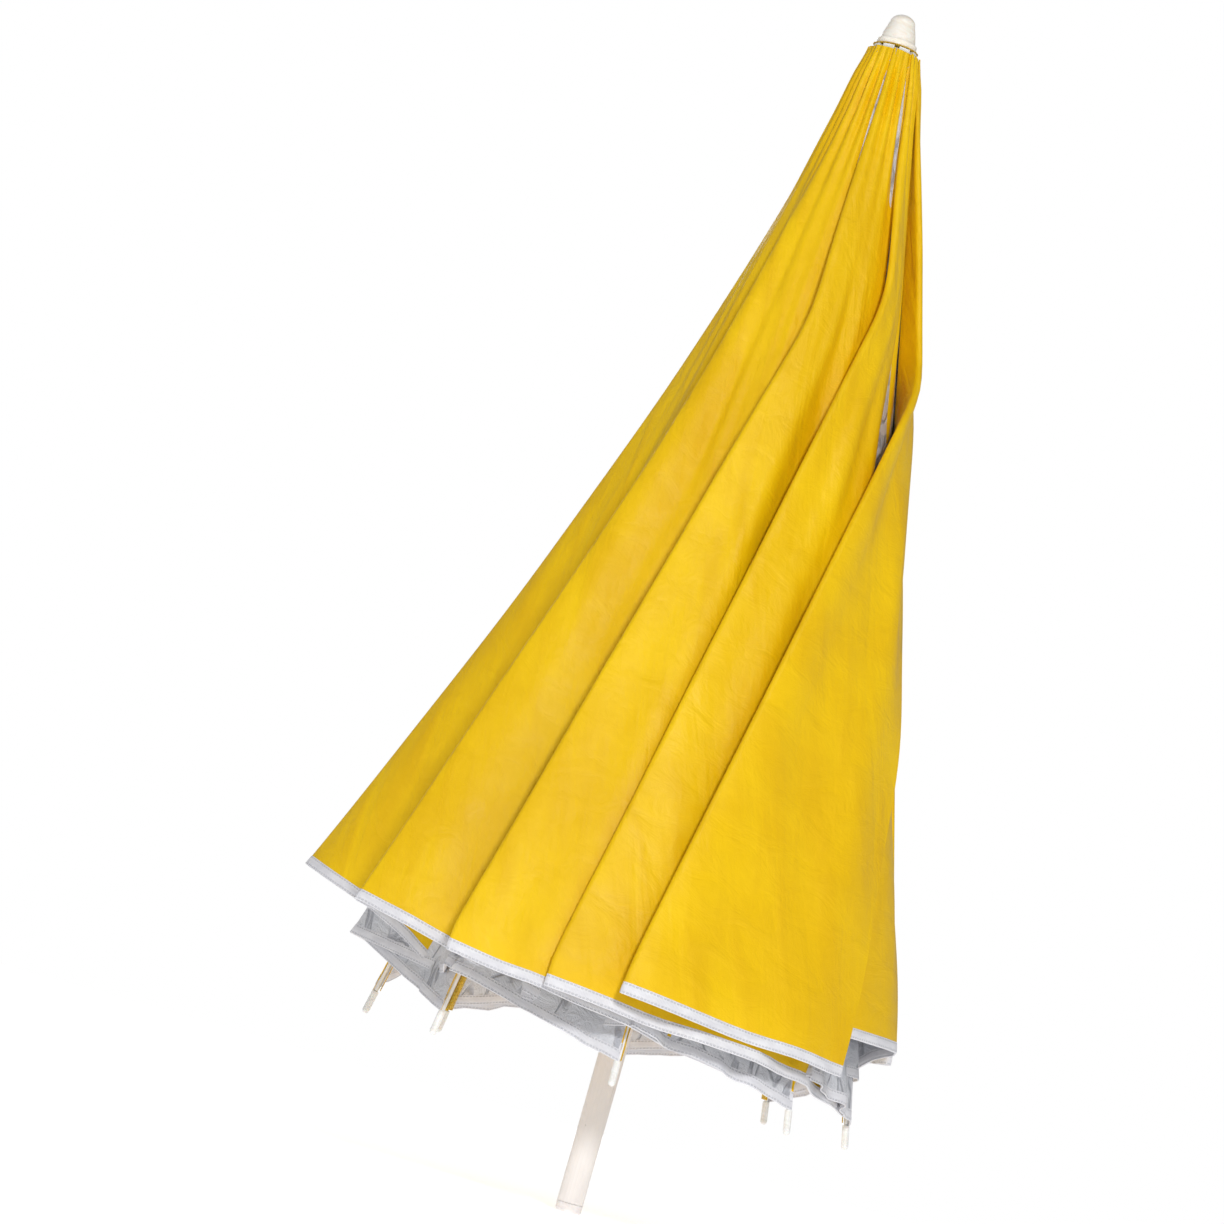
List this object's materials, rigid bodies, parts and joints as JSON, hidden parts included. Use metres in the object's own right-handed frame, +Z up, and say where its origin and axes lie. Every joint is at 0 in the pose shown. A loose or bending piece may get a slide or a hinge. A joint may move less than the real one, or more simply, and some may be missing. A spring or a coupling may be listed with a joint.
{
  "type": "beach umbrella",
  "caption": "Upper section of a beach umbrella, loosely folded: pole, finial cap, crown, sliding runner with ribs and stretchers, and a wrapped cloth canopy.",
  "frame": {"origin": "centre of the flat bottom of the plug in the pole's lower end", "axes": "+Z up the pole to the finial cap; -Y is the front, where the flaps' folds face; +X to the right"},
  "size_m": [0.5095, 0.4767, 1.037],
  "materials": {
    "pole_paint": "gloss white powder coat",
    "rib_paint": "white painted steel wire",
    "white_plastic": "moulded, slightly glossy",
    "steel_wire": "drawn galvanised wire",
    "canopy_cloth": "satin polyester taffeta, silver coated inside, white hem tape"
  },
  "bodies": {
    "pole": {"pole_tube": "pole_paint", "pole_plug": "white_plastic", "finial_cap": "white_plastic", "crown_hub": "white_plastic", "crown_wire": "steel_wire", "canopy_top_patch": "canopy_cloth"},
    "rib_1": {"rib_1": "rib_paint", "rib_tip_1": "white_plastic", "rib_bracket_1": "steel_wire"},
    "rib_2": {"rib_2": "rib_paint", "rib_tip_2": "white_plastic", "rib_bracket_2": "steel_wire"},
    "rib_3": {"rib_3": "rib_paint", "rib_tip_3": "white_plastic", "rib_bracket_3": "steel_wire"},
    "rib_4": {"rib_4": "rib_paint", "rib_tip_4": "white_plastic", "rib_bracket_4": "steel_wire"},
    "rib_5": {"rib_5": "rib_paint", "rib_tip_5": "white_plastic", "rib_bracket_5": "steel_wire"},
    "rib_6": {"rib_6": "rib_paint", "rib_tip_6": "white_plastic", "rib_bracket_6": "steel_wire"},
    "rib_7": {"rib_7": "rib_paint", "rib_tip_7": "white_plastic", "rib_bracket_7": "steel_wire"},
    "rib_8": {"rib_8": "rib_paint", "rib_tip_8": "white_plastic", "rib_bracket_8": "steel_wire"},
    "stretcher_1": {"stretcher_1": "rib_paint"},
    "stretcher_2": {"stretcher_2": "rib_paint"},
    "stretcher_3": {"stretcher_3": "rib_paint"},
    "stretcher_4": {"stretcher_4": "rib_paint"},
    "stretcher_5": {"stretcher_5": "rib_paint"},
    "stretcher_6": {"stretcher_6": "rib_paint"},
    "stretcher_7": {"stretcher_7": "rib_paint"},
    "stretcher_8": {"stretcher_8": "rib_paint"},
    "runner": {"runner": "white_plastic", "runner_wire": "steel_wire", "latch_pin": "steel_wire"},
    "latch": {"latch_lever": "white_plastic"},
    "outer_1": {"canopy_outer_1": "canopy_cloth"},
    "inner_1": {"canopy_inner_1": "canopy_cloth"},
    "outer_2": {"canopy_outer_2": "canopy_cloth"},
    "inner_2": {"canopy_inner_2": "canopy_cloth"},
    "outer_3": {"canopy_outer_3": "canopy_cloth"},
    "inner_3": {"canopy_inner_3": "canopy_cloth"},
    "outer_4": {"canopy_outer_4": "canopy_cloth"},
    "inner_4": {"canopy_inner_4": "canopy_cloth"},
    "outer_5": {"canopy_outer_5": "canopy_cloth"},
    "inner_5": {"canopy_inner_5": "canopy_cloth"},
    "outer_6": {"canopy_outer_6": "canopy_cloth"},
    "inner_6": {"canopy_inner_6": "canopy_cloth"},
    "outer_7": {"canopy_outer_7": "canopy_cloth"},
    "inner_7": {"canopy_inner_7": "canopy_cloth"},
    "outer_8": {"canopy_outer_8": "canopy_cloth"},
    "inner_8": {"canopy_inner_8": "canopy_cloth"}
  },
  "joints": [
    {"name": "fold_1", "type": "hinge", "parent": "pole", "child": "rib_1", "pos_m": [0.016, 0, 0.999], "axis": [0, -1, 0], "range_deg": [0, 56]},
    {"name": "fold_2", "type": "hinge", "parent": "pole", "child": "rib_2", "pos_m": [0.01131, 0.01131, 0.999], "axis": [0.7071, -0.7071, 0], "range_deg": [0, 56]},
    {"name": "fold_3", "type": "hinge", "parent": "pole", "child": "rib_3", "pos_m": [0, 0.016, 0.999], "axis": [1, 0, 0], "range_deg": [0, 56]},
    {"name": "fold_4", "type": "hinge", "parent": "pole", "child": "rib_4", "pos_m": [-0.01131, 0.01131, 0.999], "axis": [0.7071, 0.7071, 0], "range_deg": [0, 56]},
    {"name": "fold_5", "type": "hinge", "parent": "pole", "child": "rib_5", "pos_m": [-0.016, 0, 0.999], "axis": [0, 1, 0], "range_deg": [0, 56]},
    {"name": "fold_6", "type": "hinge", "parent": "pole", "child": "rib_6", "pos_m": [-0.01131, -0.01131, 0.999], "axis": [-0.7071, 0.7071, 0], "range_deg": [0, 56]},
    {"name": "fold_7", "type": "hinge", "parent": "pole", "child": "rib_7", "pos_m": [0, -0.016, 0.999], "axis": [-1, 0, 0], "range_deg": [0, 56]},
    {"name": "fold_8", "type": "hinge", "parent": "pole", "child": "rib_8", "pos_m": [0.01131, -0.01131, 0.999], "axis": [-0.7071, -0.7071, 0], "range_deg": [0, 56]},
    {"name": "stretch_1", "type": "hinge", "parent": "rib_1", "child": "stretcher_1", "pos_m": [0.09076, 0, 0.62129], "axis": [0, -1, 0], "range_deg": [-112, 0]},
    {"name": "stretch_2", "type": "hinge", "parent": "rib_2", "child": "stretcher_2", "pos_m": [0.06418, 0.06418, 0.62129], "axis": [0.7071, -0.7071, 0], "range_deg": [-112, 0]},
    {"name": "stretch_3", "type": "hinge", "parent": "rib_3", "child": "stretcher_3", "pos_m": [0, 0.09076, 0.62129], "axis": [1, 0, 0], "range_deg": [-112, 0]},
    {"name": "stretch_4", "type": "hinge", "parent": "rib_4", "child": "stretcher_4", "pos_m": [-0.06418, 0.06418, 0.62129], "axis": [0.7071, 0.7071, 0], "range_deg": [-112, 0]},
    {"name": "stretch_5", "type": "hinge", "parent": "rib_5", "child": "stretcher_5", "pos_m": [-0.09076, 0, 0.62129], "axis": [0, 1, 0], "range_deg": [-112, 0]},
    {"name": "stretch_6", "type": "hinge", "parent": "rib_6", "child": "stretcher_6", "pos_m": [-0.06418, -0.06418, 0.62129], "axis": [-0.7071, 0.7071, 0], "range_deg": [-112, 0]},
    {"name": "stretch_7", "type": "hinge", "parent": "rib_7", "child": "stretcher_7", "pos_m": [0, -0.09076, 0.62129], "axis": [-1, 0, 0], "range_deg": [-112, 0]},
    {"name": "stretch_8", "type": "hinge", "parent": "rib_8", "child": "stretcher_8", "pos_m": [0.06418, -0.06418, 0.62129], "axis": [-0.7071, -0.7071, 0], "range_deg": [-112, 0]},
    {"name": "runner_slide", "type": "hinge", "parent": "stretcher_1", "child": "runner", "pos_m": [0.016, 0, 0.24358], "axis": [0, -1, 0], "range_deg": [0, 56]},
    {"name": "latch_press", "type": "hinge", "parent": "runner", "child": "latch", "pos_m": [0, -0.018, 0.21958], "axis": [1, 0, 0], "range_deg": [0, 7], "stiffness_Nm_per_rad": 0.05, "springref_deg": -2.86},
    {"name": "outer_turn_1", "type": "hinge", "parent": "rib_2", "child": "outer_1", "pos_m": [0.01131, 0.01131, 0.999], "axis": [-0.147, -0.147, 0.9781], "range_deg": [0, 55.89], "deforming": ["canopy_outer_1"]},
    {"name": "inner_turn_1", "type": "hinge", "parent": "rib_1", "child": "inner_1", "pos_m": [0.016, 0, 0.999], "axis": [0.2079, 0, -0.9781], "range_deg": [0, 161.42], "deforming": ["canopy_inner_1"]},
    {"name": "outer_turn_2", "type": "hinge", "parent": "rib_3", "child": "outer_2", "pos_m": [0, 0.016, 0.999], "axis": [-0.1025, -0.3129, 0.9442], "range_deg": [0, 22.47], "deforming": ["canopy_outer_2"]},
    {"name": "inner_turn_2", "type": "hinge", "parent": "rib_2", "child": "inner_2", "pos_m": [0.01131, 0.01131, 0.999], "axis": [0.147, 0.147, -0.9781], "range_deg": [0, 161.42], "deforming": ["canopy_inner_2"]},
    {"name": "outer_turn_3", "type": "hinge", "parent": "rib_4", "child": "outer_3", "pos_m": [-0.01131, 0.01131, 0.999], "axis": [0.1301, -0.326, 0.9364], "range_deg": [0, 22.57], "deforming": ["canopy_outer_3"]},
    {"name": "inner_turn_3", "type": "hinge", "parent": "rib_3", "child": "inner_3", "pos_m": [0, 0.016, 0.999], "axis": [0, 0.2079, -0.9781], "range_deg": [0, 161.42], "deforming": ["canopy_inner_3"]},
    {"name": "outer_turn_4", "type": "hinge", "parent": "rib_5", "child": "outer_4", "pos_m": [-0.016, 0, 0.999], "axis": [0.3188, -0.2056, 0.9253], "range_deg": [0, 23.68], "deforming": ["canopy_outer_4"]},
    {"name": "inner_turn_4", "type": "hinge", "parent": "rib_4", "child": "inner_4", "pos_m": [-0.01131, 0.01131, 0.999], "axis": [-0.147, 0.147, -0.9781], "range_deg": [0, 161.42], "deforming": ["canopy_inner_4"]},
    {"name": "outer_turn_5", "type": "hinge", "parent": "rib_6", "child": "outer_5", "pos_m": [-0.01131, -0.01131, 0.999], "axis": [-0.2027, 0.1232, -0.9715], "range_deg": [0, 42.83], "deforming": ["canopy_outer_5"]},
    {"name": "inner_turn_5", "type": "hinge", "parent": "rib_5", "child": "inner_5", "pos_m": [-0.016, 0, 0.999], "axis": [-0.2079, 0, -0.9781], "range_deg": [0, 161.42], "deforming": ["canopy_inner_5"]},
    {"name": "outer_turn_6", "type": "hinge", "parent": "rib_7", "child": "outer_6", "pos_m": [0, -0.016, 0.999], "axis": [-0.2725, -0.0793, -0.9589], "range_deg": [0, 53.03], "deforming": ["canopy_outer_6"]},
    {"name": "inner_turn_6", "type": "hinge", "parent": "rib_6", "child": "inner_6", "pos_m": [-0.01131, -0.01131, 0.999], "axis": [-0.147, -0.147, -0.9781], "range_deg": [0, 161.42], "deforming": ["canopy_inner_6"]},
    {"name": "outer_turn_7", "type": "hinge", "parent": "rib_8", "child": "outer_7", "pos_m": [0.01131, -0.01131, 0.999], "axis": [-0.147, 0.147, 0.9781], "range_deg": [0, 18.57], "deforming": ["canopy_outer_7"]},
    {"name": "inner_turn_7", "type": "hinge", "parent": "rib_7", "child": "inner_7", "pos_m": [0, -0.016, 0.999], "axis": [0, -0.2079, -0.9781], "range_deg": [0, 161.42], "deforming": ["canopy_inner_7"]},
    {"name": "outer_turn_8", "type": "hinge", "parent": "rib_1", "child": "outer_8", "pos_m": [0.016, 0, 0.999], "axis": [-0.2079, 0, 0.9781], "range_deg": [0, 37.53], "deforming": ["canopy_outer_8"]},
    {"name": "inner_turn_8", "type": "hinge", "parent": "rib_8", "child": "inner_8", "pos_m": [0.01131, -0.01131, 0.999], "axis": [0.147, -0.147, -0.9781], "range_deg": [0, 161.42], "deforming": ["canopy_inner_8"]}
  ],
  "couplings": [
    {"joint": "fold_2", "follows": "fold_1", "ratio": 1},
    {"joint": "fold_3", "follows": "fold_1", "ratio": 1},
    {"joint": "fold_4", "follows": "fold_1", "ratio": 1},
    {"joint": "fold_5", "follows": "fold_1", "ratio": 1},
    {"joint": "fold_6", "follows": "fold_1", "ratio": 1},
    {"joint": "fold_7", "follows": "fold_1", "ratio": 1},
    {"joint": "fold_8", "follows": "fold_1", "ratio": 1},
    {"joint": "stretch_1", "follows": "fold_1", "ratio": -2},
    {"joint": "stretch_2", "follows": "fold_1", "ratio": -2},
    {"joint": "stretch_3", "follows": "fold_1", "ratio": -2},
    {"joint": "stretch_4", "follows": "fold_1", "ratio": -2},
    {"joint": "stretch_5", "follows": "fold_1", "ratio": -2},
    {"joint": "stretch_6", "follows": "fold_1", "ratio": -2},
    {"joint": "stretch_7", "follows": "fold_1", "ratio": -2},
    {"joint": "stretch_8", "follows": "fold_1", "ratio": -2},
    {"joint": "runner_slide", "follows": "fold_1", "ratio": 1},
    {"joint": "outer_turn_1", "follows": "fold_1", "ratio": 0.9979},
    {"joint": "inner_turn_1", "follows": "fold_1", "ratio": 2.8824},
    {"joint": "outer_turn_2", "follows": "fold_1", "ratio": 0.4011},
    {"joint": "inner_turn_2", "follows": "fold_1", "ratio": 2.8824},
    {"joint": "outer_turn_3", "follows": "fold_1", "ratio": 0.4028},
    {"joint": "inner_turn_3", "follows": "fold_1", "ratio": 2.8824},
    {"joint": "outer_turn_4", "follows": "fold_1", "ratio": 0.4227},
    {"joint": "inner_turn_4", "follows": "fold_1", "ratio": 2.8824},
    {"joint": "outer_turn_5", "follows": "fold_1", "ratio": 0.7646},
    {"joint": "inner_turn_5", "follows": "fold_1", "ratio": 2.8824},
    {"joint": "outer_turn_6", "follows": "fold_1", "ratio": 0.9468},
    {"joint": "inner_turn_6", "follows": "fold_1", "ratio": 2.8824},
    {"joint": "outer_turn_7", "follows": "fold_1", "ratio": 0.3315},
    {"joint": "inner_turn_7", "follows": "fold_1", "ratio": 2.8824},
    {"joint": "outer_turn_8", "follows": "fold_1", "ratio": 0.67},
    {"joint": "inner_turn_8", "follows": "fold_1", "ratio": 2.8824}
  ]
}
